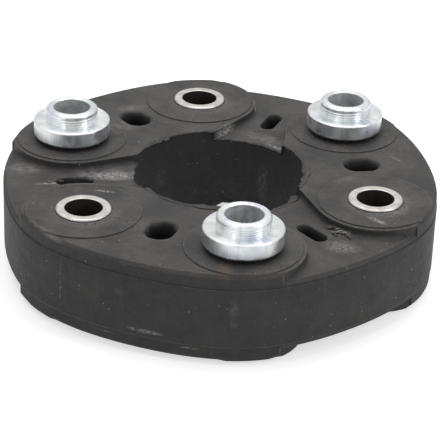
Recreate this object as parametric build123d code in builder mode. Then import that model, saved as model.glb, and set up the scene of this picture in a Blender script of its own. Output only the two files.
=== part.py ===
"""Cord-reinforced rubber flex disc with six bolt sleeves, three of them with a stepped centring collar.

Frame: the origin is on the disc's axis, in the plane of the sleeves' lower ends. +Z points along the
axis towards the collars, and +X points at bolt 4. Bolts 1 to 6 follow each other clockwise from above,
starting at -X. Bolts 1-2, 3-4 and 5-6 are joined by thick drive arms, 2-3, 4-5 and 6-1 by thin coast
arms. All sizes are in millimetres.
"""
from build123d import *
from math import asin, atan2, cos, hypot, radians, sin, sqrt, tan
import os

# Bolt circle and steel sleeves
bolt_circle_radius = 55.0
bolt_count = 6
bolt_hole_diameter = 12.3
sleeve_diameter = 18.0
sleeve_length = 33.0
sleeve_chamfer = 0.4
bolt_hole_chamfer = 0.3

# Rubber body
rubber_inset = 1.0  # the sleeves stand this far out of the rubber at each end
reach_at_bolts = 74.3
reach_between_bolts = 72.2
outline_corner_radius = 42.0
outline_corner_turn = 20.0  # degrees that the outline turns along each corner's arc
belt_height = 20.4  # the mould's middle ring leaves a belt round the disc's side
belt_overhang = 0.3  # which stands this far out of the rubber above and below it
outline_edge_chamfer = 1.0
bore_diameter = 58.0
pad_diameter = 37.4
pad_height = 0.4
step_radius = 20.0  # radius of the step's wall round a bolt
step_depth = 3.4  # the thin arms lie this far below the pads, on both faces
step_mouth = 26.0  # width of a thin arm where it opens into the bore

# Oblong pockets between the cord strands, from both faces
pocket_circle_radius = 48.5
pocket_length = 13.3
wide_pocket_width = 10.5
wide_pocket_corner = 4.2
narrow_pocket_width = 5.8
narrow_pocket_end_flat = 0.4
pocket_depth = 12.0
pocket_draft = 3.0  # degrees

# Cord packs and the guide discs between them, laid round the sleeves
cord_thickness = 4.4
drive_pack_height = 7.2
coast_pack_height = 9.2
guide_disc_thickness = 0.8

# Centring collars
collar_flange_diameter = 26.0
collar_flange_thickness = 5.9
collar_flange_foot_chamfer = 0.8
collar_flange_top_chamfer = 0.4
collar_neck_diameter = 17.5
collar_neck_length = 4.5
collar_neck_chamfer = 0.7
spigot_diameter = 15.0
spigot_length = 6.0
spigot_end_gap = 0.5

# Places that follow from the sizes above
bolt_pitch = 360 / bolt_count
half_pitch = bolt_pitch / 2
first_bolt_angle = 180.0
rubber_bottom = rubber_inset
rubber_top = sleeve_length - rubber_inset
rubber_height = rubber_top - rubber_bottom
middle_height = sleeve_length / 2
half_chord = bolt_circle_radius * sin(radians(half_pitch))
chord_distance = bolt_circle_radius * cos(radians(half_pitch))
far_out = 2 * reach_at_bolts


def bolt_angle(number):
    """Angle of a bolt about the disc's axis. Bolts are numbered clockwise from 1."""
    return first_bolt_angle - (number - 1) * bolt_pitch


def on_bolt(number, height=0.0):
    """A plane on a bolt's axis at a height above the sleeves' lower ends."""
    angle = radians(bolt_angle(number))
    x = bolt_circle_radius * cos(angle)
    y = bolt_circle_radius * sin(angle)
    return Plane(origin=(x, y, height))


def on_arm(number, height=0.0):
    """A plane on the disc's axis whose X axis points at the middle of the arm after this bolt."""
    angle = radians(bolt_angle(number) - half_pitch)
    return Plane(origin=(0, 0, height), x_dir=(cos(angle), sin(angle), 0), z_dir=(0, 0, 1))


def polar(radius, angle):
    """The point at a radius and an angle in degrees."""
    return (radius * cos(radians(angle)), radius * sin(radians(angle)))


def disc_outline(inset):
    """Closed outline of the rubber: an arc at each bolt, and a flatter curve along each arm that touches both."""
    corner_centre = reach_at_bolts - outline_corner_radius
    corner_radius = outline_corner_radius - inset
    half_turn = outline_corner_turn / 2
    with BuildSketch(Plane.XY.offset(middle_height)) as plan:
        with BuildLine():
            for i in range(bolt_count):
                bolt = i * bolt_pitch
                next_bolt = bolt + bolt_pitch
                centre = Vector(*polar(corner_centre, bolt))
                next_centre = Vector(*polar(corner_centre, next_bolt))
                start = centre + Vector(*polar(corner_radius, bolt - half_turn))
                end = centre + Vector(*polar(corner_radius, bolt + half_turn))
                next_start = next_centre + Vector(*polar(corner_radius, next_bolt - half_turn))
                ThreePointArc(start, polar(reach_at_bolts - inset, bolt), end)
                Spline(
                    end,
                    polar(reach_between_bolts - inset, bolt + half_pitch),
                    next_start,
                    tangents=[polar(1, bolt + half_turn + 90), polar(1, next_bolt - half_turn + 90)],
                )
        make_face()
    return plan.sketch


def thin_arm_floor():
    """Plan of a thin arm in its own plane: straight walls from the bore, then the steps round the bolts."""
    mouth_y = step_mouth / 2
    mouth_x = sqrt((bore_diameter / 2) ** 2 - mouth_y**2)
    # the straight wall touches the step's arc round the bolt
    reach_x = chord_distance - mouth_x
    reach_y = half_chord - mouth_y
    distance = hypot(reach_x, reach_y)
    tangent = sqrt(distance**2 - step_radius**2)
    lean = atan2(reach_y, reach_x) - asin(step_radius / distance)
    touch_x = mouth_x + tangent * cos(lean)
    touch_y = mouth_y + tangent * sin(lean)
    inner_y = mouth_y - mouth_x / 2 * sin(lean) / cos(lean)
    with BuildSketch() as plan:
        with BuildLine():
            Polyline(
                (mouth_x / 2, -inner_y),
                (touch_x, -touch_y),
                (chord_distance, -half_chord),
                (far_out, -half_chord),
                (far_out, half_chord),
                (chord_distance, half_chord),
                (touch_x, touch_y),
                (mouth_x / 2, inner_y),
                close=True,
            )
        make_face()
        with Locations((chord_distance, half_chord), (chord_distance, -half_chord)):
            Circle(step_radius, mode=Mode.SUBTRACT)
    return plan.sketch


def export(part, name):
    """Label a finished piece and write it."""
    part.label = name
    export_step(part, f"parts/{name}.step")


os.makedirs("parts", exist_ok=True)

thin_floor = thin_arm_floor()
drive_arms = range(1, bolt_count, 2)
coast_arms = range(2, bolt_count + 1, 2)
collar_bolts = range(1, bolt_count, 2)

# Cord packs: racetracks wound round two neighbouring sleeves. A coast pack lies in the middle plane,
# and a drive pack on each side of it, with guide discs between them.
coast_bottom = middle_height - coast_pack_height / 2
upper_drive_bottom = middle_height + coast_pack_height / 2 + guide_disc_thickness
lower_drive_bottom = middle_height - coast_pack_height / 2 - guide_disc_thickness - drive_pack_height
pack_diameter = sleeve_diameter + 2 * cord_thickness
pack_places = (
    ("coast_cord_pack", coast_arms, coast_bottom, coast_pack_height),
    ("upper_drive_cord_pack", drive_arms, upper_drive_bottom, drive_pack_height),
    ("lower_drive_cord_pack", drive_arms, lower_drive_bottom, drive_pack_height),
)
cord_packs = []
for kind, arms, bottom, height in pack_places:
    for number, bolt in enumerate(arms, start=1):
        with BuildPart() as cord_pack:
            with BuildSketch(on_arm(bolt, bottom)):
                with Locations((chord_distance, 0)):
                    SlotCenterToCenter(2 * half_chord, pack_diameter, rotation=90)
                    SlotCenterToCenter(2 * half_chord, sleeve_diameter, rotation=90, mode=Mode.SUBTRACT)
            extrude(amount=height)
        export(cord_pack.part, f"{kind}_{number}")
        cord_packs.append(cord_pack.part)

# Guide discs: thin steel rings that keep the packs apart
guide_disc_places = (
    ("upper_guide_disc", upper_drive_bottom - guide_disc_thickness),
    ("lower_guide_disc", coast_bottom - guide_disc_thickness),
)
guide_discs = []
for kind, bottom in guide_disc_places:
    for bolt in range(1, bolt_count + 1):
        with BuildPart() as guide_disc:
            with BuildSketch(on_bolt(bolt, bottom)):
                Circle(pack_diameter / 2)
                Circle(sleeve_diameter / 2, mode=Mode.SUBTRACT)
            extrude(amount=guide_disc_thickness)
        export(guide_disc.part, f"{kind}_{bolt}")
        guide_discs.append(guide_disc.part)

# Steel sleeves, with a counterbore where a collar is pressed in
for bolt in range(1, bolt_count + 1):
    with BuildPart() as sleeve:
        with BuildSketch(on_bolt(bolt)):
            Circle(sleeve_diameter / 2)
        extrude(amount=sleeve_length)
        chamfer(sleeve.edges().filter_by(GeomType.CIRCLE), sleeve_chamfer)
        with Locations(on_bolt(bolt, sleeve_length)):
            if bolt in collar_bolts:
                CounterBoreHole(
                    bolt_hole_diameter / 2,
                    spigot_diameter / 2,
                    spigot_length + spigot_end_gap,
                    depth=sleeve_length,
                )
            else:
                Hole(bolt_hole_diameter / 2, depth=sleeve_length)
    export(sleeve.part, f"sleeve_{bolt}")

# Zinc-plated centring collars: a spigot in the sleeve, a flange on its end and a neck above it
flange_top = collar_flange_thickness
neck_top = flange_top + collar_neck_length
for bolt in collar_bolts:
    section_plane = Plane(origin=on_bolt(bolt, sleeve_length).origin, x_dir=(1, 0, 0), z_dir=(0, -1, 0))
    with BuildPart() as collar:
        with BuildSketch(section_plane):
            with BuildLine():
                Polyline(
                    (bolt_hole_diameter / 2, -spigot_length),
                    (spigot_diameter / 2, -spigot_length),
                    (spigot_diameter / 2, 0),
                    (collar_flange_diameter / 2 - collar_flange_foot_chamfer, 0),
                    (collar_flange_diameter / 2, collar_flange_foot_chamfer),
                    (collar_flange_diameter / 2, flange_top - collar_flange_top_chamfer),
                    (collar_flange_diameter / 2 - collar_flange_top_chamfer, flange_top),
                    (collar_neck_diameter / 2, flange_top),
                    (collar_neck_diameter / 2, neck_top - collar_neck_chamfer),
                    (collar_neck_diameter / 2 - collar_neck_chamfer, neck_top),
                    (bolt_hole_diameter / 2 + bolt_hole_chamfer, neck_top),
                    (bolt_hole_diameter / 2, neck_top - bolt_hole_chamfer),
                    close=True,
                )
            make_face()
        revolve(axis=Axis(on_bolt(bolt).origin, (0, 0, 1)))
    export(collar.part, f"collar_{bolt}")

# Rubber body: a middle belt, a thin ring above it, three thick arms on the ring and a pad round each bolt,
# all mirrored to the underside
belt_top = middle_height + belt_height / 2
arm_top = rubber_top - pad_height
thin_top = rubber_top - step_depth


def chamfered_slab(top):
    """The outline above the belt, from the middle plane up to a height, with its top edge chamfered."""
    with BuildPart() as slab:
        add(disc_outline(belt_overhang))
        extrude(amount=top - middle_height)
        chamfer(slab.faces().sort_by(Axis.Z)[-1].edges(), outline_edge_chamfer)
    return slab.part


with BuildPart() as thick_arms:
    add(chamfered_slab(arm_top))
    for bolt in coast_arms:
        with BuildSketch(on_arm(bolt, middle_height)):
            add(thin_floor)
        extrude(amount=rubber_height, mode=Mode.SUBTRACT)
    Cylinder(bore_diameter / 2, far_out, mode=Mode.SUBTRACT)

with BuildPart() as pads:
    add(chamfered_slab(rubber_top))
    with BuildSketch(Plane.XY.offset(middle_height)):
        with PolarLocations(bolt_circle_radius, bolt_count):
            Circle(pad_diameter / 2)
    extrude(amount=rubber_height, mode=Mode.INTERSECT)

with BuildPart() as rubber_body:
    add(chamfered_slab(thin_top))
    add(disc_outline(0))
    extrude(amount=belt_height / 2)
    Cylinder(bore_diameter / 2, far_out, mode=Mode.SUBTRACT)
    add(thick_arms.part)
    add(pads.part)
    # drafted pockets between the strands, wide in the thick arms and narrow in the thin ones
    pocket_shrink = 2 * pocket_depth * tan(radians(pocket_draft))
    for bolt in range(1, bolt_count + 1):
        width, corner = narrow_pocket_width, (narrow_pocket_width - narrow_pocket_end_flat) / 2
        if bolt in drive_arms:
            width, corner = wide_pocket_width, wide_pocket_corner
        for depth, shrink in ((0, 0), (pocket_depth, pocket_shrink)):
            with BuildSketch(on_arm(bolt, rubber_top - depth)):
                with Locations((pocket_circle_radius, 0)):
                    RectangleRounded(pocket_length - shrink, width - shrink, corner - shrink / 2)
        loft(mode=Mode.SUBTRACT)
    mirror(about=Plane.XY.offset(middle_height))
    with Locations([on_bolt(bolt, middle_height) for bolt in range(1, bolt_count + 1)]):
        Cylinder(sleeve_diameter / 2, sleeve_length, mode=Mode.SUBTRACT)
    add(guide_discs + cord_packs, mode=Mode.SUBTRACT)

export(rubber_body.part, "rubber_body")
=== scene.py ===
"""Looks of the flex disc: moulded rubber, turned steel sleeves and zinc-plated centring collars.

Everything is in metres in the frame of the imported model: the origin is on the disc's axis in the plane of the
sleeves' lower ends, +Z runs towards the collars, and bolt 1 is at -X. Lengths below are written in
millimetres and turned into metres with MM. Angles about the axis are in degrees. Arm 1-2 is the one between
bolts 1 and 2.
"""
import bmesh
import bpy
import numpy as np
from mathutils import Matrix, Vector


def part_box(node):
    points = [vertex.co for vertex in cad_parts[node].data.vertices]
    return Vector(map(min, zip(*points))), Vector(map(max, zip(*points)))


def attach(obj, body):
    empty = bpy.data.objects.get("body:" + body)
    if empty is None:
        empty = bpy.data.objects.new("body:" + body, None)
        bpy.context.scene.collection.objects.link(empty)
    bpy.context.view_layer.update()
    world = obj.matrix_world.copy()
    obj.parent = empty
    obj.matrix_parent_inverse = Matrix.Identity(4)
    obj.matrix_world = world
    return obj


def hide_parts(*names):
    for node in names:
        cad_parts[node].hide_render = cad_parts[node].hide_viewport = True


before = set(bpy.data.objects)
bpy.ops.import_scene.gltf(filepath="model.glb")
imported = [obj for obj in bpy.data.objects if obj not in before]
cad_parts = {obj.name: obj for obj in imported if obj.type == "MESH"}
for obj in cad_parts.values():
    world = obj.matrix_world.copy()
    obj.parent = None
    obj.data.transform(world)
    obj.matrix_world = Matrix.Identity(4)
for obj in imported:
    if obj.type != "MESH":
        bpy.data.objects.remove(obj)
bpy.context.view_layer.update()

MM = 0.001
BOLT_CIRCLE = 55.0  # radius
BOLT_COUNT = 6
COLLAR_BOLTS = (1, 3, 5)
THICK_ARMS = (150.0, 30.0, 270.0)  # angles of the arms' middles
THIN_ARMS = (90.0, 330.0, 210.0)
SLEEVE_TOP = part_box("sleeve_4")[1][2] / MM
SLEEVE_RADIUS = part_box("sleeve_4")[1][0] / MM - BOLT_CIRCLE
HOLE_RADIUS = 6.15
PAD_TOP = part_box("rubber_body")[1][2] / MM
ARM_TOP = PAD_TOP - 0.4  # upper face of the thick arms
THIN_TOP = PAD_TOP - 3.4  # and of the thin arms
BORE_RADIUS = 29.0
THIN_MOUTH = 26.0  # width of a thin arm's recess at the bore
STEP_RADIUS = 20.0  # the step between a thick and a thin arm runs round the bolt at this radius
FLOOR_REACH = 71.6  # the flat floor of a thin arm ends this far from the axis, at the outline's chamfer
MERGE = 0.002  # points nearer to each other than this are one
SHARP = 38.0  # faces that meet at a larger angle than this, in degrees, keep a hard edge


def bolt_angle(number):
    """Angle of a bolt in degrees; the bolts run clockwise from above, starting at -X."""
    return 180.0 - 60.0 * (number - 1)


def bolt_centre(number):
    """Place of a bolt's axis in millimetres."""
    angle = np.radians(bolt_angle(number))
    return BOLT_CIRCLE * np.cos(angle), BOLT_CIRCLE * np.sin(angle)


def turned(points, degrees):
    """Points of (x, y, z) turned about the disc's axis."""
    c, s = np.cos(np.radians(degrees)), np.sin(np.radians(degrees))
    return points @ np.array([[c, s, 0], [-s, c, 0], [0, 0, 1]])


# Camera, as the photograph was taken: solved from the six bolt rings and the collars

PHOTO_SIZE = 440
FOCAL_PIXELS = 1978.545
CAMERA_DISTANCE = 663.321
CAMERA_ELEVATION = 26.121
CAMERA_ROLL = 2.128
CAMERA_AZIMUTH = 21.44
ORIGIN_PIXEL = (219.713, 164.914)  # where the centre of the sleeves' tops lands
SENSOR_WIDTH = 36.0
CLIP_METRES = (0.01, 20.0)


def make_camera():
    """Camera looking down at the centre of the sleeves' tops, aimed so that it lands on its pixel."""
    elevation, roll = np.radians(CAMERA_ELEVATION), np.radians(CAMERA_ROLL)
    back = np.array([0, -np.cos(elevation), np.sin(elevation)])
    level_right = np.array([1.0, 0, 0])
    level_up = np.cross(back, level_right)
    right = np.cos(roll) * level_right + np.sin(roll) * level_up
    up = -np.sin(roll) * level_right + np.cos(roll) * level_up
    yaw, pitch = np.arctan2(np.array(ORIGIN_PIXEL) - PHOTO_SIZE / 2, FOCAL_PIXELS)
    right, forward = np.cos(yaw) * right - np.sin(yaw) * back, -np.sin(yaw) * right - np.cos(yaw) * back
    up, forward = np.cos(pitch) * up - np.sin(pitch) * forward, np.sin(pitch) * up + np.cos(pitch) * forward
    place = turned(back * CAMERA_DISTANCE, CAMERA_AZIMUTH) + np.array([0, 0, SLEEVE_TOP])
    data = bpy.data.cameras.new("camera")
    data.sensor_width = SENSOR_WIDTH
    data.lens = FOCAL_PIXELS / PHOTO_SIZE * SENSOR_WIDTH
    data.clip_start, data.clip_end = CLIP_METRES
    camera = bpy.data.objects.new("camera", data)
    bpy.context.scene.collection.objects.link(camera)
    matrix = np.eye(4)
    matrix[:3, :3] = turned(np.stack([right, up, -forward]), CAMERA_AZIMUTH).T
    matrix[:3, 3] = place * MM
    camera.matrix_world = Matrix(matrix.tolist())
    bpy.context.scene.camera = camera


# Meshes from numpy arrays

def new_piece(name, points, faces, material, smooth=True, closed=True, uv=None):
    """An object at the origin; points are in millimetres and faces are rows of point numbers.

    A closed piece has its doubles welded, which shuts its poles, and its faces turned outwards.
    """
    mesh = bpy.data.meshes.new(name)
    points, faces = np.asarray(points, float), np.asarray(faces, int)
    mesh.vertices.add(len(points))
    mesh.vertices.foreach_set("co", (points * MM).ravel())
    mesh.loops.add(faces.size)
    mesh.loops.foreach_set("vertex_index", faces.ravel())
    mesh.polygons.add(len(faces))
    mesh.polygons.foreach_set("loop_start", np.arange(len(faces)) * faces.shape[1])
    if uv is not None:
        layer = mesh.uv_layers.new(name="along")
        layer.data.foreach_set("uv", uv.ravel())
    mesh.update(calc_edges=True)
    mesh.validate()
    if closed:
        work = bmesh.new()
        work.from_mesh(mesh)
        bmesh.ops.remove_doubles(work, verts=work.verts, dist=MERGE * MM)
        bmesh.ops.recalc_face_normals(work, faces=work.faces)
        work.to_mesh(mesh)
        work.free()
    if smooth:
        mesh.shade_smooth()
        mesh.set_sharp_from_angle(angle=np.radians(SHARP))
    mesh.materials.append(material)
    piece = bpy.data.objects.new(name, mesh)
    bpy.context.scene.collection.objects.link(piece)
    return piece


def grid_faces(rows, columns, close_rows=False, close_columns=False):
    """Quads of a grid of points that is numbered row by row, closed on itself where asked."""
    i = np.arange(rows if close_rows else rows - 1)
    j = np.arange(columns if close_columns else columns - 1)
    i, j = np.meshgrid(i, j, indexing="ij")
    a = i * columns + j
    b = i * columns + (j + 1) % columns
    c = (i + 1) % rows * columns + (j + 1) % columns
    d = (i + 1) % rows * columns + j
    return np.stack([a, b, c, d], -1).reshape(-1, 4)


GUARD = 0.04  # distance of the points that hold a flat beside a rounded corner


def rounded_loop(corners, steps=4):
    """Closed profile with its corners rounded.

    A corner is (r, z, radius). At each one the path follows the two edges up to a distance of the radius from
    the corner, and between these points a quadratic curve with the corner as its control point. A point just
    before and after each curve keeps the flats between them evenly shaded.
    """
    corners = np.asarray(corners, float)
    place, radius = corners[:, :2], corners[:, 2:3]
    before, after = np.roll(place, 1, 0), np.roll(place, -1, 0)
    to_before = (before - place) / np.linalg.norm(before - place, axis=1, keepdims=True)
    to_after = (after - place) / np.linalg.norm(after - place, axis=1, keepdims=True)
    start, end = place + to_before * radius, place + to_after * radius
    t = np.linspace(0, 1, steps + 1)[None, :, None]
    curve = (1 - t) ** 2 * start[:, None] + 2 * t * (1 - t) * place[:, None] + t ** 2 * end[:, None]
    first, last = (start + to_before * GUARD)[:, None], (end + to_after * GUARD)[:, None]
    return np.concatenate([first, curve, last], 1).reshape(-1, 2)


def revolve(name, profile, number, material, segments=160):
    """A closed profile of (r, z) turned about a bolt's axis.

    Point (i, j) is at the angle 2 pi i / segments and on profile point j. Its UV is the turned part of a
    circle and the length along the profile in metres.
    """
    x0, y0 = bolt_centre(number)
    angle = np.linspace(0, 2 * np.pi, segments, endpoint=False)[:, None]
    r, z = profile[:, 0][None], profile[:, 1][None]
    points = np.stack([x0 + r * np.cos(angle), y0 + r * np.sin(angle), z + 0 * angle], -1).reshape(-1, 3)
    faces = grid_faces(segments, len(profile), True, True)
    step = np.linalg.norm(np.roll(profile, -1, 0) - profile, axis=1)
    along = np.concatenate([[0], np.cumsum(step)]) * MM
    i, j = np.divmod(faces, len(profile))
    # the last row and column carry on past the seam instead of jumping back
    u = np.where(i < i[:, :1], i + segments, i) / segments
    v = along[np.where(j < j[:, :1], j + len(profile), j)]
    return new_piece(name, points, faces, material, uv=np.stack([u, v], -1).reshape(-1, 2))


def sweep(name, path, across, profile, material, ring=False):
    """Several strips in one piece: closed profiles carried along paths.

    The arrays have one row per strip. Point (s, i, j) is path point (s, i), plus the first number of profile
    point (s, i, j) along the level direction across (s, i), plus its second number along Z.
    """
    path, across, profile = np.array(path), np.array(across), np.array(profile)
    points = path[:, :, None] + profile[..., :1] * across[:, :, None]
    points[..., 2] += profile[..., 1]
    strips, rows, columns = points.shape[:3]
    faces = grid_faces(rows, columns, ring, True)
    faces = (faces[None] + np.arange(strips)[:, None, None] * rows * columns).reshape(-1, 4)
    return new_piece(name, points.reshape(-1, 3), faces, material)


def outward(angle):
    """Level unit vectors at angles in degrees."""
    return np.stack([np.cos(np.radians(angle)), np.sin(np.radians(angle)), 0 * angle], -1)


def torn(angle, knots, seed):
    """Torn edge, from 0 to 1: random heights at evenly spaced angles, with straight lines between them."""
    height = np.random.default_rng(seed).random(knots)
    return np.interp(angle % 360, np.linspace(0, 360, knots + 1), np.append(height, height[0]))


def smooth_step(value):
    """From 0 to 1 while the value goes from 0 to 1, level at both ends: 3 v squared less 2 v cubed."""
    value = np.clip(value, 0, 1)
    return value * value * (3 - 2 * value)


def seat(piece, slot, *nodes):
    """The piece rides on the disc and stands for the solids named, which it hides. The slot is not used."""
    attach(piece, "root")
    if nodes:
        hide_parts(*nodes)


# Materials

def linear(code):
    """Linear colour from an sRGB hex code."""
    value = np.array([int(code[i:i + 2], 16) for i in (1, 3, 5)]) / 255
    value = np.where(value <= 0.04045, value / 12.92, ((value + 0.055) / 1.055) ** 2.4)
    return (*value, 1.0)


def per_mm(size):
    """Scale of a pattern whose features are this many millimetres apart."""
    return 1 / (size * MM)


def add_node(tree, kind, inputs=None, output=0, **settings):
    """Adds a node with its settings and gives one of its outputs; an input is a value or another's output."""
    node = tree.nodes.new(kind)
    for name, value in settings.items():
        setattr(node, name, value)
    for key, value in (inputs or {}).items():
        if isinstance(value, bpy.types.NodeSocket):
            tree.links.new(value, node.inputs[key])
        else:
            node.inputs[key].default_value = value
    return node.outputs[output] if node.outputs else None


NOISE, RANGE, MIX, MATH = "ShaderNodeTexNoise", "ShaderNodeMapRange", "ShaderNodeMix", "ShaderNodeMath"
BUMP, MAPPING, VECTOR_MATH = "ShaderNodeBump", "ShaderNodeMapping", "ShaderNodeVectorMath"
VORONOI, SEPARATE, LIGHT_PATH = "ShaderNodeTexVoronoi", "ShaderNodeSeparateXYZ", "ShaderNodeLightPath"
FACTOR, COLOUR_A, COLOUR_B, MIXED = 0, 6, 7, 2  # sockets of a Mix node of colours


def new_material(name):
    """An empty material with its tree and its object coordinates."""
    material = bpy.data.materials.new(name)
    material.use_nodes = True
    tree = material.node_tree
    tree.nodes.clear()
    return material, tree, add_node(tree, "ShaderNodeTexCoord", output="Object")


def finish_material(tree, **inputs):
    """The shader and the output. A keyword is the name of an input, with underlines for its spaces."""
    inputs = {name.replace("_", " "): value for name, value in inputs.items()}
    shader = add_node(tree, "ShaderNodeBsdfPrincipled", inputs)
    add_node(tree, "ShaderNodeOutputMaterial", {"Surface": shader})


def two_tones(tree, pattern, low, high, first, second):
    """Colour that goes from the first hex code to the second while a pattern goes from low to high."""
    share = add_node(tree, RANGE, {"Value": pattern, "From Min": low, "From Max": high})
    return add_node(tree, MIX, {FACTOR: share, COLOUR_A: linear(first), COLOUR_B: linear(second)},
                    output=MIXED, data_type="RGBA")


# Marks that this disc shows: middle and half sizes in millimetres, turn in degrees, grain in millimetres,
# strength and colour
RUBBER_MARKS = (
    ((-33, -13.5, THIN_TOP), (15, 6, 2), 24, 4.0, 0.75, "#7b7878"),  # dust in the recess of arm 6-1
    ((-33, -15.5, THIN_TOP), (12, 4, 2), 24, 1.2, 0.95, "#a5a1a0"),  # scuffs in that dust
    ((-61, -23, THIN_TOP), (9, 5, 2), 28, 3.0, 0.65, "#817b79"),  # dust at the recess's outer end
    ((-52, -17, THIN_TOP), (5, 1.0, 2), 18, 0.9, 0.9, "#a7a19e"),  # rubbed flash at the foot of pad 1
    ((-49, -29.5, THIN_TOP), (6, 1.2, 2), 32, 1.0, 0.9, "#aaa4a1"),  # rubbed rim of the pocket of arm 6-1
    ((60, -13, PAD_TOP), (4.5, 1.5, 1), -20, 0.9, 0.9, "#b3aeab"),  # scuff on the pad of bolt 4
    ((51, 33.8, ARM_TOP), (3.6, 0.4, 1), -27, 3.0, 0.9, "#a5a19f"),  # thin line on arm 3-4
    ((41, 10.6, ARM_TOP), (6, 2.5, 1), 60, 2.0, 0.55, "#827d7a"),  # dust between the bore and its pocket
    ((-11, 32, ARM_TOP - 1.5), (0.9, 6.5, 3), -16, 1.1, 0.95, "#b9b4b1"),  # pale step, bore to pad 2: rubbed, with a painted highlight
    ((-9, 55.6, THIN_TOP + 2), (0.9, 3.2, 3), 23, 1.0, 0.95, "#bdb8b5"),  # the same step beside bolt 2, also with a painted highlight
    ((50, -19.8, THIN_TOP + 0.4), (5.5, 2.4, 1.2), -20, 0.8, 0.95, "#b5b0ad"),  # torn flash in arm 4-5
    ((56.1, -1.0, PAD_TOP), (12.2, 11.2, 0.8), 0, 0.8, 0.85, "#b5b0ac"),  # flecks round sleeve 4
    ((-26, -49, PAD_TOP), (12.5, 11.5, 0.8), 0, 0.8, 0.6, "#b5b0ac"),  # round sleeve 6
    ((-26, 46, PAD_TOP), (12.5, 11.5, 0.8), 0, 0.8, 0.5, "#9c9895"),  # and round sleeve 2
    ((1.9, 35, THIN_TOP), (12, 4.5, 1.5), -14, 2.2, 0.6, "#7d7876"),  # dust along the bore in arm 2-3
    ((9, 29.6, THIN_TOP), (6, 1.4, 1.5), -16, 1.2, 0.8, "#9f9a97"),  # torn edge of the recess of arm 2-3
    ((-44, 15, ARM_TOP), (10, 6, 1), 80, 2.4, 0.55, "#7b7674"),  # dust between pad 1 and the bore
    ((-47, 31, ARM_TOP), (7, 3, 1), 40, 2.0, 0.5, "#827d7a"),  # and by the pocket of arm 1-2
    ((-11, -48, ARM_TOP), (9, 7, 1), 0, 1.8, 0.35, "#7d7876"),  # dust round the pocket of arm 5-6
    ((-2.8, -72.6, ARM_TOP), (11, 1.2, 1.5), 2, 2.5, 0.8, "#8b8683"),  # rubbed outer edge of arm 5-6, with a painted highlight
    ((-30, -66.5, ARM_TOP), (14, 1.2, 1.5), -28, 3.0, 0.8, "#807b79"),  # and further left
    ((28, -63.7, ARM_TOP), (9, 3, 2), -67, 3.0, 0.6, "#665443"),  # brown stain in front of collar 5
    ((-27, -32.7, PAD_TOP), (4.2, 0.7, 1), 10, 0.8, 0.9, "#beb9b6"),  # pale squiggle on the pad of bolt 6
    ((54, -29, THIN_TOP), (7, 5, 2), 10, 1.1, 0.7, "#958f8c"),  # scratches in the recess of arm 4-5
    ((5.3, -73.6, 8.5), (8.5, 3, 1.0), 3, 0.9, 0.95, "#c2bfbd"),  # pale scuff low on the front
    ((-9.3, -73.4, 4.8), (5, 3, 0.5), 2, 0.9, 0.8, "#a9a6a4"),  # short dashes near the lower edge,
    ((19.8, -71.3, 5.1), (4, 3, 0.6), 8, 0.9, 0.8, "#a9a6a4"),  # left and right
    ((-25.3, -69, 16), (0.25, 2.5, 10), 0, 2.5, 0.8, "#8d8a88"),  # one upright line left on the front
    ((-3, -73.9, 20.5), (3.5, 3, 2.2), 0, 3.0, 0.5, "#777472"),  # grey patch above the scuff
    ((32.6, -66.4, 18.3), (1.8, 3, 7), 0, 1.6, 0.4, "#777472"),  # faint smear in the middle of the front
    ((5, 28.4, 14), (3.0, 3, 9), -10, 1.3, 0.55, "#757371"),  # smears on the wall of the bore: far,
    ((-26.6, 11.5, 17), (2.5, 4, 4), 0, 2.5, 0.35, "#65625f"),  # left
    ((-8, 28, 10), (9, 4, 5), 0, 3.5, 0.25, "#65625f"),  # and between the two
)


def rubber_marks(tree, place):
    """Layers of the marks: each is an ellipsoid that fades outwards and is broken up by its grain."""
    layers = []
    for centre, half, turn, grain, strength, code in RUBBER_MARKS:
        inside = add_node(tree, MAPPING, {
            "Vector": place, "Location": np.array(centre) * MM, "Scale": np.array(half) * MM,
            "Rotation": (0, 0, np.radians(turn))}, vector_type="TEXTURE")
        inside = add_node(tree, VECTOR_MATH, {0: inside}, output="Value", operation="LENGTH")
        inside = add_node(tree, RANGE, {"Value": inside, "From Min": 1.0, "From Max": 0.35})
        broken = add_node(tree, NOISE, {
            "Vector": place, "Scale": per_mm(grain), "Detail": 4.0, "Roughness": 0.65})
        broken = add_node(tree, RANGE, {
            "Value": broken, "From Min": 0.38, "From Max": 0.6, "To Max": strength})
        layers.append((add_node(tree, MATH, {0: inside, 1: broken}, operation="MULTIPLY"), code))
    return layers


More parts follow.
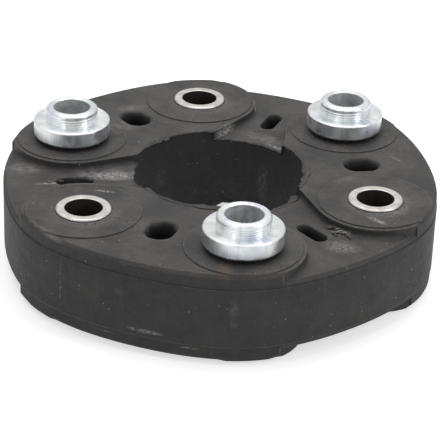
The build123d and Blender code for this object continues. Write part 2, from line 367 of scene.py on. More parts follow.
def moulded_rubber(name, worn_and_highlit_edges):
    """Natural rubber, compression moulded and unpainted.

    It is matte and near black, with a grey bloom of dust on what faces up, painted shade in its corners, under
    the shoulder and on the bore's wall, crests rubbed pale with a painted highlight, a grain left by the mould,
    faint upright release marks on the walls, and pale scuffs where discs rubbed against each other. The thin
    flash has no rounded, pale crests, because its own edges are thinner than these.
    """
    material, tree, place = new_material(name)
    broad = add_node(tree, NOISE, {"Vector": place, "Scale": per_mm(14), "Detail": 4.0, "Roughness": 0.6})
    mottle = add_node(tree, NOISE, {"Vector": place, "Scale": per_mm(1.5), "Detail": 5.0, "Roughness": 0.7})
    true_normal = add_node(tree, "ShaderNodeNewGeometry", output="Normal")
    facing = add_node(tree, SEPARATE, {0: true_normal}, output="Z")
    layers = []  # each the share that it covers and its colour, from the lowest up
    # bloom: thicker on what faces up and in patches 14 mm across, broken by a mottle 1.5 mm across
    bloom = add_node(tree, RANGE, {"Value": mottle, "From Min": 0.3, "From Max": 0.7, "To Max": 0.85})
    upward = add_node(tree, RANGE, {"Value": facing, "From Min": 0.55, "To Min": 0.1})
    patches = add_node(tree, RANGE, {
        "Value": broad, "From Min": 0.38, "From Max": 0.62, "To Min": 0.3, "To Max": 1.3})
    bloom = add_node(tree, MATH, {0: bloom, 1: upward}, operation="MULTIPLY")
    bloom = add_node(tree, MATH, {0: bloom, 1: patches}, operation="MULTIPLY")
    layers.append((bloom, "#595654"))
    # painted shade, uneven: corners whose sky is closed within 4 mm are darkened
    open_sky = add_node(tree, "ShaderNodeAmbientOcclusion", {"Distance": 4 * MM}, output="AO", samples=6)
    corner = add_node(tree, RANGE, {"Value": open_sky, "From Min": 0.85, "From Max": 0.45})
    uneven = add_node(tree, RANGE, {
        "Value": broad, "From Min": 0.4, "From Max": 0.6, "To Min": 0.35, "To Max": 0.75})
    corner = add_node(tree, MATH, {0: corner, 1: uneven}, operation="MULTIPLY")
    layers.append((corner, "#181717"))
    # painted shade: the wall is darker in a strip under the shoulder, 21 to 28.5 mm up
    height = add_node(tree, SEPARATE, {0: place}, output="Z")
    painted_shoulder_shade = add_node(tree, RANGE, {
        "Value": height, "From Min": 21 * MM, "From Max": 25.5 * MM, "To Max": 0.45})
    under = add_node(tree, RANGE, {"Value": height, "From Min": 28.5 * MM, "From Max": 26.5 * MM})
    upright = add_node(tree, RANGE, {"Value": facing, "From Min": 0.5, "From Max": 0.2})
    painted_shoulder_shade = add_node(tree, MATH, {0: painted_shoulder_shade, 1: under}, operation="MULTIPLY")
    painted_shoulder_shade = add_node(tree, MATH, {0: painted_shoulder_shade, 1: upright}, operation="MULTIPLY")
    layers.append((painted_shoulder_shade, "#1b1a1a"))
    # crests are rubbed pale and given a painted highlight where the rounded normal leaves the true one and the
    # sky is open
    worn = true_normal
    if worn_and_highlit_edges:
        worn = add_node(tree, "ShaderNodeBevel", {"Radius": 0.9 * MM}, samples=8)
        edge = add_node(tree, VECTOR_MATH, {0: worn, 1: true_normal}, output="Value", operation="DOT_PRODUCT")
        edge = add_node(tree, RANGE, {"Value": edge, "From Min": 0.99, "From Max": 0.85})
        crest_wear_and_highlight = add_node(tree, RANGE, {"Value": open_sky, "From Min": 0.7, "From Max": 0.95})
        rubbed = add_node(tree, RANGE, {
            "Value": mottle, "From Min": 0.42, "From Max": 0.62, "To Min": 0.2, "To Max": 0.9})
        crest_wear_and_highlight = add_node(tree, MATH, {0: crest_wear_and_highlight, 1: edge}, operation="MULTIPLY")
        crest_wear_and_highlight = add_node(tree, MATH, {0: crest_wear_and_highlight, 1: rubbed}, operation="MULTIPLY")
        layers.append((crest_wear_and_highlight, "#7d7976"))
    # release marks: a pattern 3 mm across drawn out 14 times along Z, faint
    drawn_out = add_node(tree, MAPPING, {"Vector": place, "Scale": (1, 1, 1 / 14)})
    release = add_node(tree, NOISE, {
        "Vector": drawn_out, "Scale": per_mm(3), "Detail": 3.0, "Roughness": 0.6})
    release = add_node(tree, RANGE, {"Value": release, "From Min": 0.6, "From Max": 0.75, "To Max": 0.15})
    layers.append((release, "#6a6968"))
    # painted shade: the bore's wall is darker than the rest
    level = add_node(tree, MAPPING, {"Vector": place, "Scale": (1, 1, 0)})
    radius = add_node(tree, VECTOR_MATH, {0: level}, output="Value", operation="LENGTH")
    painted_bore_shade = add_node(tree, RANGE, {
        "Value": radius, "From Min": (BORE_RADIUS + 0.3) * MM, "From Max": BORE_RADIUS * MM, "To Max": 0.65})
    layers.append((painted_bore_shade, "#191818"))
    # short random scuffs: a pattern 1.2 mm across drawn out four times
    lying = add_node(tree, MAPPING, {"Vector": place, "Scale": (1 / 4, 1, 1), "Rotation": (0, 0, 0.5)})
    scuff = add_node(tree, NOISE, {"Vector": lying, "Scale": per_mm(1.2), "Detail": 5.0, "Roughness": 0.7})
    scuff = add_node(tree, RANGE, {"Value": scuff, "From Min": 0.64, "From Max": 0.78, "To Max": 0.5})
    layers.append((scuff, "#8a8683"))
    # specks of dust: balls up to 0.4 mm across in a third of the cells of a 2.2 mm pattern, which show where
    # the surface cuts them
    cells = {"Vector": place, "Scale": per_mm(2.2)}
    dot = add_node(tree, VORONOI, cells, output="Distance")
    dot = add_node(tree, MATH, {0: dot, 1: 0.1}, operation="LESS_THAN")
    chosen = add_node(tree, VORONOI, cells, output="Color")
    chosen = add_node(tree, "ShaderNodeSeparateColor", {0: chosen})
    chosen = add_node(tree, RANGE, {"Value": chosen, "From Min": 0.68, "To Max": 0.9})
    layers.append((add_node(tree, MATH, {0: dot, 1: chosen}, operation="MULTIPLY"), "#a9a6a2"))
    colour = two_tones(tree, broad, 0.35, 0.65, "#232222", "#323130")
    for share, code in layers + rubber_marks(tree, place):
        colour = add_node(tree, MIX, {FACTOR: share, COLOUR_A: colour, COLOUR_B: linear(code)},
                          output=MIXED, data_type="RGBA")
    # the mould's grain, 0.6 mm, and shallow waves, 4 mm, on edges that look worn round
    grain = add_node(tree, NOISE, {"Vector": place, "Scale": per_mm(0.6), "Detail": 2.0})
    grain = add_node(tree, BUMP, {"Height": grain, "Distance": 0.08 * MM, "Strength": 0.7, "Normal": worn})
    waves = add_node(tree, NOISE, {"Vector": place, "Scale": per_mm(4), "Detail": 3.0})
    waves = add_node(tree, BUMP, {"Height": waves, "Distance": 0.5 * MM, "Strength": 0.8, "Normal": grain})
    dull = add_node(tree, RANGE, {
        "Value": mottle, "From Min": 0.3, "From Max": 0.7, "To Min": 0.62, "To Max": 0.8})
    finish_material(tree, Base_Color=colour, Roughness=dull, Normal=waves)
    return material


def turned_lines(tree, spacing, depth, strength):
    """Normal of the rings left by turning: noise over the length along the profile alone.

    Real rings are 0.1 mm apart, too fine for the render, so these are as coarse as they need to be to show. A
    whole turn counts as 2 mm, so that a ring changes slowly on its way round.
    """
    around = add_node(tree, "ShaderNodeUVMap", uv_map="along")
    around = add_node(tree, MAPPING, {"Vector": around, "Scale": (2 * MM, 1, 1)})
    rings = add_node(tree, NOISE, {"Vector": around, "Scale": per_mm(spacing), "Detail": 2.0})
    return add_node(tree, BUMP, {"Height": rings, "Distance": depth * MM, "Strength": strength})


# Tints of the passivation: size of a patch in millimetres, range of its noise, strength and colour
ZINC_TINTS = (
    (9.0, 0.45, 0.62, 0.7, "#c6cbd9"),  # blue
    (8.0, 0.52, 0.68, 0.6, "#cdc6de"),  # violet
    (8.0, 0.48, 0.62, 0.5, "#dbe4d2"),  # green
)


def zinc_plated_steel():
    """Turned steel, zinc plated and clear passivated.

    It is bright and a little milky, with faint blue, violet and green tints where the passivation is thicker,
    dark upright streaks painted on the flange's side as reflections, and turning rings that draw its highlights
    out into bands across them.
    """
    material, tree, place = new_material("zinc plated turned steel")
    colour = linear("#e8ecee")
    for size, low, high, most, code in ZINC_TINTS:
        patch = add_node(tree, NOISE, {"Vector": place, "Scale": per_mm(size), "Detail": 2.0})
        patch = add_node(tree, RANGE, {"Value": patch, "From Min": low, "From Max": high, "To Max": most})
        colour = add_node(tree, MIX, {FACTOR: patch, COLOUR_A: colour, COLOUR_B: linear(code)},
                          output=MIXED, data_type="RGBA")
    # painted reflection: dark upright streaks, 45 to the turn of the collar, drawn out along the profile
    around = add_node(tree, "ShaderNodeUVMap", uv_map="along")
    around = add_node(tree, MAPPING, {"Vector": around, "Scale": (45, 60, 1)})
    painted_reflection_band = add_node(tree, NOISE, {"Vector": around, "Scale": 1.0, "Detail": 3.0, "Roughness": 0.6})
    painted_reflection_band = add_node(tree, RANGE, {"Value": painted_reflection_band, "From Min": 0.5, "From Max": 0.75, "To Max": 0.5})
    colour = add_node(tree, MIX, {FACTOR: painted_reflection_band, COLOUR_A: colour, COLOUR_B: linear("#a2a5ae")},
                      output=MIXED, data_type="RGBA")
    haze = add_node(tree, NOISE, {"Vector": place, "Scale": per_mm(3), "Detail": 3.0})
    haze = add_node(tree, RANGE, {
        "Value": haze, "From Min": 0.3, "From Max": 0.7, "To Min": 0.26, "To Max": 0.4})
    turning = add_node(tree, "ShaderNodeTangent", direction_type="UV_MAP", uv_map="along")
    rings = turned_lines(tree, 0.7, 0.03, 0.7)
    finish_material(tree, Base_Color=colour, Metallic=1.0, Roughness=haze, Anisotropic=0.7,
                    Anisotropic_Rotation=0.25, Tangent=turning, Normal=rings)
    return material


def thin_zinc():
    """Zinc in the bore, where the bath barely throws: thin, dull and grey, with darker stains."""
    material, tree, place = new_material("thin zinc in the bore")
    stain = add_node(tree, NOISE, {"Vector": place, "Scale": per_mm(2.5), "Detail": 4.0, "Roughness": 0.65})
    colour = two_tones(tree, stain, 0.4, 0.7, "#dcdfdf", "#a4a6aa")
    rings = turned_lines(tree, 0.7, 0.02, 0.6)
    finish_material(tree, Base_Color=colour, Metallic=0.2, Roughness=0.5, Normal=rings)
    return material


def faced_steel():
    """Drawn steel tube, faced on a lathe: satin, a warm grey, with fine rings on its ends."""
    material, tree, place = new_material("faced steel tube")
    tone = add_node(tree, NOISE, {"Vector": place, "Scale": per_mm(3), "Detail": 3.0})
    colour = two_tones(tree, tone, 0.3, 0.7, "#d0ccc8", "#aeaaa5")
    satin = add_node(tree, NOISE, {"Vector": place, "Scale": per_mm(1.5), "Detail": 3.0})
    satin = add_node(tree, RANGE, {
        "Value": satin, "From Min": 0.3, "From Max": 0.7, "To Min": 0.3, "To Max": 0.45})
    rings = turned_lines(tree, 0.25, 0.01, 0.6)
    finish_material(tree, Base_Color=colour, Metallic=1.0, Roughness=satin, Normal=rings)
    return material


def bore_film():
    """Dried bonding agent and oil in the tube's bore: a dull, nearly black brown film."""
    material, tree, place = new_material("dried film on steel")
    tone = add_node(tree, NOISE, {"Vector": place, "Scale": per_mm(3), "Detail": 3.0})
    colour = two_tones(tree, tone, 0.3, 0.7, "#191512", "#2b2620")
    finish_material(tree, Base_Color=colour, Roughness=0.6)
    return material


def wound_cord():
    """Polyester cord wound in turns a millimetre apart and dipped in rubber solution: a dull brown."""
    material, tree, place = new_material("wound polyester cord")
    level = add_node(tree, MAPPING, {"Vector": place, "Scale": (1 / 8, 1 / 8, 1)})
    turns = add_node(tree, NOISE, {"Vector": level, "Scale": per_mm(1.0), "Detail": 3.0})
    colour = two_tones(tree, turns, 0.35, 0.65, "#6a5338", "#8f7450")
    ridges = add_node(tree, BUMP, {"Height": turns, "Distance": 0.2 * MM, "Strength": 0.6})
    finish_material(tree, Base_Color=colour, Roughness=0.8, Normal=ridges)
    return material


def blanked_sheet():
    """Mild steel sheet, blanked and bonded all over: plain dull grey with a rolled grain."""
    material, tree, place = new_material("blanked steel sheet")
    rolled = add_node(tree, MAPPING, {"Vector": place, "Scale": (1 / 12, 1, 1)})
    rolled = add_node(tree, NOISE, {"Vector": rolled, "Scale": per_mm(0.5), "Detail": 3.0})
    colour = two_tones(tree, rolled, 0.3, 0.7, "#8d8d8f", "#a3a3a4")
    finish_material(tree, Base_Color=colour, Metallic=1.0, Roughness=0.42)
    return material


rubber = moulded_rubber("moulded natural rubber", worn_and_highlit_edges=True)
flash_rubber = moulded_rubber("natural rubber flash", worn_and_highlit_edges=False)
zinc = zinc_plated_steel()
bore_zinc = thin_zinc()
tube_steel = faced_steel()
dark_film = bore_film()
cord = wound_cord()
sheet_steel = blanked_sheet()


# Pieces of moulded rubber

def rubber_skin():
    """The moulded body: the solid's own facets with their doubles merged, smooth but for its sharp edges."""
    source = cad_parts["rubber_body"].data
    points = np.zeros(len(source.vertices) * 3)
    source.vertices.foreach_get("co", points)
    points = points.reshape(-1, 3) / MM
    corners = np.zeros(len(source.loops), np.int32)
    source.loops.foreach_get("vertex_index", corners)
    _, first, same = np.unique(np.round(points / MERGE), axis=0, return_index=True, return_inverse=True)
    faces = same.ravel()[corners].reshape(-1, 3)
    different = (faces != np.roll(faces, 1, 1)).all(1)
    piece = new_piece("rubber_skin", points[first], faces[different], rubber, closed=False)
    seat(piece, "moulded_rubber", "rubber_body")


LIP_INNER, LIP_SHOULDER, LIP_CREST, LIP_FALL = 9.15, 9.2, 9.5, 9.7  # distances from the bolt's axis
LIP_ROOT = -0.3  # the profile starts and ends this far under the pad


def sleeve_lips():
    """Low lips of rubber that the mould left round both ends of each sleeve.

    Each is a closed profile carried round a bolt's axis. It is 0.16 to 0.4 mm high and its foot is 10.1 to
    11 mm from the axis, both varied with the angle by a torn line.
    """
    angle = np.linspace(0, 360, 144, endpoint=False)
    out, even = outward(angle), np.zeros(len(angle))
    paths, profiles = [], []
    for number in range(1, BOLT_COUNT + 1):
        x0, y0 = bolt_centre(number)
        for seed, level, up in ((number, PAD_TOP, 1), (number + BOLT_COUNT, SLEEVE_TOP - PAD_TOP, -1)):
            height = 0.16 + 0.24 * torn(angle, 46, seed) ** 2
            foot = 10.1 + 0.9 * torn(angle, 18, seed + 50)
            fall = (LIP_FALL + foot) / 2
            wide = (even + LIP_INNER, even + LIP_SHOULDER, even + LIP_CREST, fall, foot, foot)
            tall = (even + LIP_ROOT, 0.8 * height, height, 0.7 * height, even, even + LIP_ROOT)
            paths.append(out * 0 + np.array([x0, y0, level]))
            profiles.append(np.stack([np.stack(wide, -1), np.stack(tall, -1) * up], -1))
    piece = sweep("sleeve_lips", paths, [out] * len(paths), profiles, flash_rubber, ring=True)
    seat(piece, "moulded_rubber")


# Torn flash along the bore's upper rim: middle and half width in degrees, width and lift in millimetres. The
# lower rim has the last three
RIM_TEARS = (
    (158, 13, 2.2, 0.9), (138, 6, 0.9, 0.4), (119, 4, 1.6, 0.5), (80, 13, 1.3, 0.5), (60, 6, 1.2, 0.4),
    (20, 22, 1.5, 0.5), (-8, 9, 1.4, 0.5), (230, 16, 1.0, 0.4), (285, 13, 1.1, 0.5),
)
MOUTH_STEP = 0.8  # degrees over which the flash goes from a thick arm's height to a thin arm's


def bore_flash():
    """Thin ragged fins of flash along both rims of the bore.

    Point (i, j) is at an angle round the disc's axis, on a flat closed profile that is rooted in the rim and
    reaches inwards. Its reach and its lift are torn lines, both larger at a few tears, and its height follows
    the thick and thin arms with a smooth step at each thin arm's mouth.
    """
    angle = np.linspace(0, 360, 1440, endpoint=False)
    out, even = outward(angle), np.zeros(len(angle))
    mouth = np.degrees(np.arcsin(THIN_MOUTH / 2 / BORE_RADIUS))
    thick = np.ones_like(angle)
    for middle in THIN_ARMS:
        away = np.abs((angle - middle + 180) % 360 - 180)
        thick *= smooth_step((away - mouth + MOUTH_STEP / 2) / MOUTH_STEP)
    level = THIN_TOP + (ARM_TOP - THIN_TOP) * thick
    paths, profiles = [], []
    for up, rim, tears in ((1, level, RIM_TEARS), (-1, SLEEVE_TOP - level, RIM_TEARS[-3:])):
        reach = 0.1 + 0.6 * torn(angle, 150, 7 + up) ** 2
        lift = 0.05 + 0.25 * torn(angle, 80, 17 + up)
        for middle, half, width, rise in tears:
            bulge = smooth_step(1.4 - 1.4 * np.abs((angle - middle + 180) % 360 - 180) / half)
            reach = reach + bulge * width * (0.3 + 0.7 * torn(angle, 130, int(middle) % 97))
            lift = lift + bulge * rise * (0.5 + 0.5 * torn(angle, 60, int(half)))
        foot = 0.3 + 2.0 * lift
        wide = (foot, 0.8 * foot, even + 0.1, -0.55 * reach, -reach, -0.5 * reach, even + 0.1, foot)
        tall = (even - 0.1, 0.6 * lift, lift + 0.05, lift + 0.04, 0.8 * lift, 0.6 * lift - 0.22,
                even - 0.45, even - 0.6)
        paths.append(out * BORE_RADIUS + np.stack([even, even, rim], -1))
        profiles.append(np.stack([np.stack(wide, -1), np.stack(tall, -1) * up], -1))
    piece = sweep("bore_flash", paths, [out] * len(paths), profiles, flash_rubber, ring=True)
    seat(piece, "moulded_rubber")


COVE_SIZE = 1.5
COVE_ROOT = -0.08  # how far its closing point lies inside the corner, as a share of its size
WALL_POINTS, ARC_POINTS = 20, 200
ARC_END = 5.0  # angle at which the arc round the bolt stops, past the end of the floor
FADE_IN, FADE_OUT = 4, 24  # points over which it grows at the bore and shrinks at the outline


def step_coves():
    """Hollow fillets at the foot of each step between thick and thin arms, on both faces.

    The path is the step's plan: a straight wall from the bore, tangent to an arc round the bolt. The profile
    is a quarter circle, hollow side up, closed through a point inside the corner. Its size shrinks to nothing
    at both ends.
    """
    bolt = BOLT_CIRCLE * np.array([np.cos(np.pi / 6), np.sin(np.pi / 6)])
    mouth = np.array([np.sqrt(BORE_RADIUS ** 2 - THIN_MOUTH ** 2 / 4), THIN_MOUTH / 2])
    reach = bolt - mouth
    distance = np.hypot(*reach)
    lean = np.arctan2(reach[1], reach[0]) - np.arcsin(STEP_RADIUS / distance)
    touch = mouth + np.sqrt(distance ** 2 - STEP_RADIUS ** 2) * np.array([np.cos(lean), np.sin(lean)])
    first = np.arctan2(*(touch - bolt)[::-1])
    phi = np.linspace(first, np.radians(ARC_END), ARC_POINTS)
    arc = bolt + STEP_RADIUS * np.stack([np.cos(phi), np.sin(phi)], -1)
    keep = np.hypot(*arc.T) < FLOOR_REACH
    t = np.linspace(0, 1, WALL_POINTS, endpoint=False)[:, None]
    plan = np.concatenate([mouth * (1 - t) + touch * t, arc[keep]])
    phi = np.concatenate([np.full(WALL_POINTS, first), phi[keep]])
    away = np.stack([np.cos(phi), np.sin(phi)], -1)
    count = np.arange(len(plan))
    size = COVE_SIZE * smooth_step(np.minimum(count / FADE_IN, count[::-1] / FADE_OUT))
    quarter = np.linspace(0, np.pi / 2, 7)
    curve = np.stack([1 - np.cos(quarter), 1 - np.sin(quarter)], -1)
    profile = size[:, None, None] * np.concatenate([[[COVE_ROOT, COVE_ROOT]], curve])
    paths, aways, profiles = [], [], []
    for arm in THIN_ARMS:
        for side in (1, -1):
            for level, up in ((THIN_TOP, 1), (SLEEVE_TOP - THIN_TOP, -1)):
                flat = np.stack([plan[:, 0], side * plan[:, 1], 0 * plan[:, 0]], -1)
                across = np.stack([away[:, 0], side * away[:, 1], 0 * away[:, 0]], -1)
                paths.append(turned(flat, arm) + np.array([0, 0, level]))
                aways.append(turned(across, arm))
                profiles.append(profile * np.array([1, up]))
    piece = sweep("step_coves", paths, aways, profiles, flash_rubber)
    seat(piece, "moulded_rubber")


POCKET_CIRCLE = 48.5  # radius on which the pockets' middles lie
POCKET_LENGTH = 13.3
# The two kinds of pocket: their arms, height of the face, width, radius of the corners, size of the roll
POCKETS = ((THICK_ARMS, ARM_TOP, 10.5, 4.2, 1.0), (THIN_ARMS, THIN_TOP, 5.8, 2.7, 0.5))
# How the mouth rolls in: distance towards the pocket's middle and height over the face, in millimetres
MOUTH_ROLL = np.array([(-0.4, -0.3), (0, 0), (0.45, -0.2), (0.8, -0.7), (0.95, -1.5), (0.95, -2.8),
                       (0.7, -4.4), (0.25, -6.4), (-0.4, -4)])
CORNER_REACH = 0.7  # the roll reaches further in at a corner's middle by this share
CORNER_POINTS = 12


def pocket_mouths():
    """Rolled mouths of the pockets, on both faces.

    The path is the pocket's outline: four quarter circles with straight runs between them. The profile rolls
    over from the face and runs out on the wall. It reaches further in at the corners, by a share of the sine
    of twice the angle, so that the hole looks oval.
    """
    turn, quarter = np.tile(np.linspace(0, 90, CORNER_POINTS), 4), np.repeat(np.arange(4), CORNER_POINTS)
    side = np.radians(90 * quarter + 45)
    out = outward(turn + 90 * quarter)
    reach = 1 + CORNER_REACH * np.sin(2 * np.radians(turn))
    paths, acrosses, profiles = [], [], []
    for arms, level, width, corner, size in POCKETS:
        corner_x = np.sign(np.cos(side)) * (POCKET_LENGTH / 2 - corner) + POCKET_CIRCLE
        corner_y = np.sign(np.sin(side)) * (width / 2 - corner)
        outline = out * corner + np.stack([corner_x, corner_y, 0 * turn], -1)
        inwards = size * reach[:, None] * MOUTH_ROLL[:, 0]
        upwards = np.tile(MOUTH_ROLL[:, 1], (len(turn), 1))
        for arm in arms:
            for height, up in ((level, 1), (SLEEVE_TOP - level, -1)):
                paths.append(turned(outline, arm) + np.array([0, 0, height]))
                acrosses.append(turned(-out, arm))
                profiles.append(np.stack([inwards, up * upwards], -1))
    piece = sweep("pocket_mouths", paths, acrosses, profiles, flash_rubber, ring=True)
    seat(piece, "moulded_rubber")


# Shreds of torn flash: middle in millimetres, turn in degrees, then half length, half width and height of the
# bend in millimetres
SHREDS = (
    ((47.2, -18.9, THIN_TOP + 0.7), -20, 2.6, 0.9, 0.55), ((50.5, -20.7, THIN_TOP + 0.6), 15, 2.4, 0.7, 0.4),
    ((53.4, -21.6, THIN_TOP + 0.6), -50, 1.9, 0.5, 0.35), ((49, -22.2, THIN_TOP + 0.4), -35, 1.6, 0.45, 0.3),
    ((-48.8, -28.2, THIN_TOP + 0.1), 30, 1.7, 0.6, 0.35),
    ((-46.2, -26.4, THIN_TOP + 0.1), -10, 1.2, 0.35, 0.3),
    ((-51.5, -17.3, THIN_TOP + 0.4), 18, 3.4, 0.6, 0.4), ((-49.5, -18.2, THIN_TOP + 0.1), 10, 2.4, 0.35, 0.3),
    ((-12.6, 29.3, THIN_TOP + 0.4), 70, 1.6, 0.4, 0.4), ((-9.2, 56.3, THIN_TOP + 0.2), 80, 1.3, 0.4, 0.5),
)
SHRED_THICKNESS = 0.16  # half of it, in the middle
SHRED_CURL = 0.3  # how far the sides curl up, as a share of the half width


def torn_flash():
    """Shreds of flash that still hang on the steps and at a pocket's mouth.

    Each is a lens-shaped strip: its half width is the square root of 1 - u squared, times a torn line, and it
    is bent up and down along its length by two sine waves.
    """
    u = np.linspace(-1, 1, 26)
    t = np.linspace(0, 2 * np.pi, 10, endpoint=False)
    lens = np.sqrt(1 - u ** 2)
    paths, acrosses, profiles = [], [], []
    for number, (centre, turn, half_length, half_width, height) in enumerate(SHREDS):
        ragged = 0.55 + 0.9 * torn(u * 180 + 180, 14, 30 + number)
        width = half_width * lens * ragged
        bend = height * (np.sin(3.1 * u + number) * 0.5 + np.sin(7.3 * u + 2 * number) * 0.25)
        sway = 0.4 * half_width * np.sin(4 * u + 3 * number)
        path = np.stack([half_length * u, sway, bend], -1)
        paths.append(turned(path, turn) + np.array(centre))
        acrosses.append(turned(np.stack([0 * u, 1 + 0 * u, 0 * u], -1), turn))
        tall = SHRED_THICKNESS * lens[:, None] * np.sin(t) + SHRED_CURL * width[:, None] * np.cos(t) ** 2
        profiles.append(np.stack([width[:, None] * np.cos(t), tall], -1))
    piece = sweep("torn_flash", paths, acrosses, profiles, flash_rubber)
    seat(piece, "moulded_rubber")


# Pieces of metal: their profiles are corners of (r, z, radius), from the bore's lower end outwards and round

NECK_RADIUS = 8.75
COLLAR_TOP = 43.4
FLANGE_RADIUS = 13.0
FLANGE_TOP = 38.9
SPIGOT_RADIUS = 7.5
SPIGOT_END = 27.0
COUNTERBORE_END = 26.5
SLEEVE_CHAMFER = 0.4
GROOVE_HEIGHTS = (39.7, 40.6, 41.5)
GROOVE_DEPTH = 0.2
GROOVE_REACH = 0.25  # half its width

TURNED_GROOVES = tuple(
    (NECK_RADIUS - deep, height + off, 0.02) for height in GROOVE_HEIGHTS
    for off, deep in ((-GROOVE_REACH, 0), (0, GROOVE_DEPTH), (GROOVE_REACH, 0))
)
COLLAR_CORNERS = (
    (HOLE_RADIUS, SPIGOT_END, 0.2), (SPIGOT_RADIUS, SPIGOT_END, 0.2), (SPIGOT_RADIUS, SLEEVE_TOP, 0.05),
    (FLANGE_RADIUS - 0.8, SLEEVE_TOP, 0.2), (FLANGE_RADIUS, SLEEVE_TOP + 0.8, 0.25),
    (FLANGE_RADIUS, FLANGE_TOP - 0.4, 0.15), (FLANGE_RADIUS - 0.4, FLANGE_TOP, 0.15),
    (NECK_RADIUS, FLANGE_TOP, 0.1), *TURNED_GROOVES,
    (NECK_RADIUS, COLLAR_TOP - 0.7, 0.2), (NECK_RADIUS - 0.7, COLLAR_TOP, 0.2),
    (HOLE_RADIUS + 0.3, COLLAR_TOP, 0.1), (HOLE_RADIUS, COLLAR_TOP - 0.3, 0.1),
)
SLEEVE_OUTSIDE = (
    (SLEEVE_RADIUS - SLEEVE_CHAMFER, 0, 0.15), (SLEEVE_RADIUS, SLEEVE_CHAMFER, 0.15),
    (SLEEVE_RADIUS, SLEEVE_TOP - SLEEVE_CHAMFER, 0.15), (SLEEVE_RADIUS - SLEEVE_CHAMFER, SLEEVE_TOP, 0.15),
)
PLAIN_BORE = ((HOLE_RADIUS, SLEEVE_TOP, 0.25), (HOLE_RADIUS, 0, 0.25))
COUNTERBORE = (
    (SPIGOT_RADIUS, SLEEVE_TOP, 0.1), (SPIGOT_RADIUS, COUNTERBORE_END, 0.1),
    (HOLE_RADIUS, COUNTERBORE_END, 0.1), (HOLE_RADIUS, 0, 0.15),
)
BORE_MARGIN = 0.6  # the film in a sleeve's bore stops this far from both ends


def finish_bore(piece, number, low, high, material):
    """Gives the faces of a turned piece's bore, between two heights, a finish of their own."""
    mesh = piece.data
    mesh.materials.append(material)
    centres = np.zeros(len(mesh.polygons) * 3)
    mesh.polygons.foreach_get("center", centres)
    centres = centres.reshape(-1, 3) / MM
    x0, y0 = bolt_centre(number)
    radius = np.hypot(centres[:, 0] - x0, centres[:, 1] - y0)
    inside = (radius < HOLE_RADIUS + 0.1) & (centres[:, 2] > low) & (centres[:, 2] < high)
    mesh.polygons.foreach_set("material_index", inside.astype(np.int32))


def collar(number):
    """A centring collar: spigot, flange and neck as one turned profile."""
    piece = revolve(f"centring_collar_{number}", rounded_loop(COLLAR_CORNERS), number, zinc)
    seat(piece, "zinc_plated_steel", f"collar_{number}")
    finish_bore(piece, number, SPIGOT_END + 0.2, COLLAR_TOP - 0.3, bore_zinc)


def sleeve(number):
    """A steel sleeve: a tube with chamfered ends, counterbored where a collar is pressed in."""
    bore = COUNTERBORE if number in COLLAR_BOLTS else PLAIN_BORE
    piece = revolve(f"steel_sleeve_{number}", rounded_loop(SLEEVE_OUTSIDE + bore), number, tube_steel)
    seat(piece, "turned_steel", f"sleeve_{number}")
    finish_bore(piece, number, BORE_MARGIN, SLEEVE_TOP - BORE_MARGIN, dark_film)


def carried_over_nodes():
    """The packs and guide discs inside the rubber stay as they are, with materials of their own."""
    for name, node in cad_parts.items():
        if "cord_pack" in name or "guide_disc" in name:
            node.data.materials.clear()
            node.data.materials.append(cord if "cord_pack" in name else sheet_steel)


# Floor, light and background

FLOOR_HALF = 3000.0
FLOOR_GLOW = 0.62  # lifts the lit floor to white for the camera and for reflections


def make_stage():
    """A plain pale floor under the disc; to the camera it is white, and it keeps the disc's shadow."""
    corners = FLOOR_HALF * np.array([(-1, -1, 0), (1, -1, 0), (1, 1, 0), (-1, 1, 0)])
    material, tree, _ = new_material("pale floor")
    seen = add_node(tree, LIGHT_PATH, output="Is Camera Ray")
    for ray in ("Is Glossy Ray", "Is Transmission Ray"):
        seen = add_node(tree, MATH, {0: seen, 1: add_node(tree, LIGHT_PATH, output=ray)}, operation="MAXIMUM")
    glow = add_node(tree, MATH, {0: seen, 1: FLOOR_GLOW}, operation="MULTIPLY")
    finish_material(tree, Base_Color=linear("#e2e2e2"), Roughness=0.9, Emission_Color=(1, 1, 1, 1),
                    Emission_Strength=glow)
    floor = new_piece("floor", corners, [(0, 1, 2, 3)], material, smooth=False, closed=False)


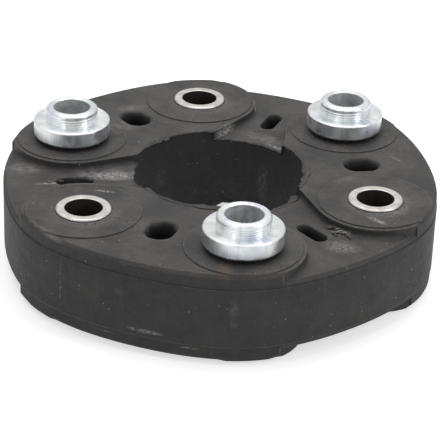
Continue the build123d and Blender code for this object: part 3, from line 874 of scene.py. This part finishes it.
# Lamps: name, place, width and height, power in watts, and the point that they face
LAMPS = (
    ("overhead", (-150, 250, 1100), (1000, 1000), 7.7, (0, 0, 0)),
    ("front strip", (-250, -900, 450), (100, 600), 0.55, (0, 0, 20)),
    ("right strip", (760, -20, 450), (120, 700), 1.6, (0, 0, 20)),
)
DIFFUSE_WORLD = 0.25  # strength of the world to diffuse rays
HORIZON_GLOSS = 0.45  # and to glossy rays near the horizon


def make_light():
    """A large soft lamp overhead, two tall weak ones, and the world.

    The world is dim to diffuse rays. To the camera it is white, and so it is to glossy rays that go up, but
    these find it greyer near the horizon, as a room is beside a light tent's open front.
    """
    for name, place, (width, height), power, aim in LAMPS:
        data = bpy.data.lights.new(name, "AREA")
        data.shape = "RECTANGLE"
        data.size, data.size_y = width * MM, height * MM
        data.energy = power
        lamp = bpy.data.objects.new(name, data)
        bpy.context.scene.collection.objects.link(lamp)
        lamp.location = np.array(place) * MM
        direction = np.array(aim, float) - np.array(place)
        lamp.rotation_euler = Vector(direction).to_track_quat("-Z", "Y").to_euler()
    world = bpy.data.worlds.new("studio")
    bpy.context.scene.world = world
    world.use_nodes = True
    tree = world.node_tree
    tree.nodes.clear()
    towards = add_node(tree, "ShaderNodeTexCoord", output="Generated")
    height = add_node(tree, SEPARATE, {0: towards}, output="Z")
    gloss = add_node(tree, RANGE, {
        "Value": height, "From Min": 0.02, "From Max": 0.35, "To Min": HORIZON_GLOSS})
    glossy = add_node(tree, LIGHT_PATH, output="Is Glossy Ray")
    strength = add_node(tree, MATH, {0: glossy, 1: gloss}, operation="MULTIPLY")
    for ray in ("Is Camera Ray", "Is Transmission Ray"):
        white = add_node(tree, LIGHT_PATH, output=ray)
        strength = add_node(tree, MATH, {0: strength, 1: white}, operation="MAXIMUM")
    strength = add_node(tree, MATH, {0: strength, 1: DIFFUSE_WORLD}, operation="MAXIMUM")
    background = add_node(tree, "ShaderNodeBackground", {"Color": (1, 1, 1, 1), "Strength": strength})
    add_node(tree, "ShaderNodeOutputWorld", {"Surface": background})


make_camera()
make_stage()
make_light()
rubber_skin()
sleeve_lips()
bore_flash()
step_coves()
pocket_mouths()
torn_flash()
for bolt_number in range(1, BOLT_COUNT + 1):
    sleeve(bolt_number)
for bolt_number in COLLAR_BOLTS:
    collar(bolt_number)
carried_over_nodes()

bpy.context.scene.view_settings.view_transform = "Standard"
